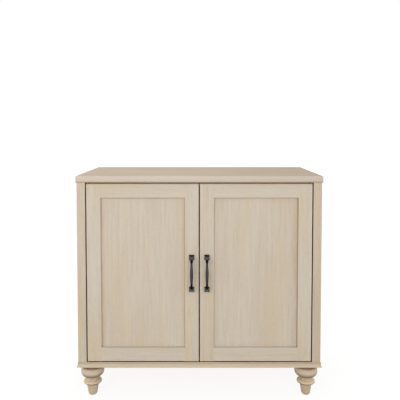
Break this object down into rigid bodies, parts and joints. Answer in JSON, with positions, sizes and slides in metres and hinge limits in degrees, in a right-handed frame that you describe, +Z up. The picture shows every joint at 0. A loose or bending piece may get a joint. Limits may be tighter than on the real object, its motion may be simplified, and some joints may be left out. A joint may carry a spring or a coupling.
{
  "type": "media cabinet",
  "caption": "Media cabinet in bleached oak with inset Shaker doors on pivot pins, a rounded top board, a coved base, turned bun feet and dark bar pulls.",
  "frame": {"origin": "on the floor, under the middle of the bounding box with the doors shut", "axes": "+Z up, +X to the right of a person facing the doors, the doors face -Y"},
  "size_m": [0.9, 0.426, 0.828],
  "materials": {
    "bleached_oak": "matt, pale whitewashed oak with fine grain",
    "oak_inside": "matt, the same pale oak on the inner boards",
    "hardboard": "matt printed hardboard",
    "blackened_metal": "satin blackened bronze",
    "zinc_steel": "zinc-plated",
    "nylon": "matt off-white",
    "beech": "plain beech dowel",
    "felt": "pressed felt"
  },
  "bodies": {
    "cabinet": {"top_panel": "bleached_oak", "left_face_stile": "bleached_oak", "right_face_stile": "bleached_oak", "left_side_panel": "bleached_oak", "right_side_panel": "bleached_oak", "base_front_moulding": "bleached_oak", "base_left_moulding": "bleached_oak", "base_right_moulding": "bleached_oak", "front_left_foot": "bleached_oak", "front_right_foot": "bleached_oak", "rear_left_foot": "bleached_oak", "rear_right_foot": "bleached_oak", "bottom_panel": "oak_inside", "front_stretcher": "oak_inside", "rear_stretcher": "oak_inside", "shelf": "oak_inside", "base_rear_rail": "oak_inside", "back_panel": "hardboard", "shelf_pins": "zinc_steel", "foot_plates": "zinc_steel", "foot_bolts": "zinc_steel", "cam_bolts": "zinc_steel", "cam_locks": "zinc_steel", "top_screws": "zinc_steel", "base_screws": "zinc_steel", "left_pivot_pins": "zinc_steel", "right_pivot_pins": "zinc_steel", "catch_magnets": "zinc_steel", "magnetic_catches": "nylon", "dowels": "beech", "foot_pads": "felt"},
    "left_door": {"left_door_hinge_stile": "bleached_oak", "left_door_meeting_stile": "bleached_oak", "left_door_top_rail": "bleached_oak", "left_door_bottom_rail": "bleached_oak", "left_door_panel": "bleached_oak", "left_handle": "blackened_metal", "left_handle_screws": "zinc_steel", "left_pivot_bushings": "nylon", "left_strike_plate": "zinc_steel"},
    "right_door": {"right_door_hinge_stile": "bleached_oak", "right_door_meeting_stile": "bleached_oak", "right_door_top_rail": "bleached_oak", "right_door_bottom_rail": "bleached_oak", "right_door_panel": "bleached_oak", "right_handle": "blackened_metal", "right_handle_screws": "zinc_steel", "right_pivot_bushings": "nylon", "right_strike_plate": "zinc_steel"}
  },
  "joints": [
    {"name": "left_door_hinge", "type": "hinge", "parent": "cabinet", "child": "left_door", "pos_m": [-0.401, -0.174, 0.143], "axis": [0, 0, -1], "range_deg": [0, 110]},
    {"name": "right_door_hinge", "type": "hinge", "parent": "cabinet", "child": "right_door", "pos_m": [0.401, -0.174, 0.143], "axis": [0, 0, 1], "range_deg": [0, 110]}
  ]
}
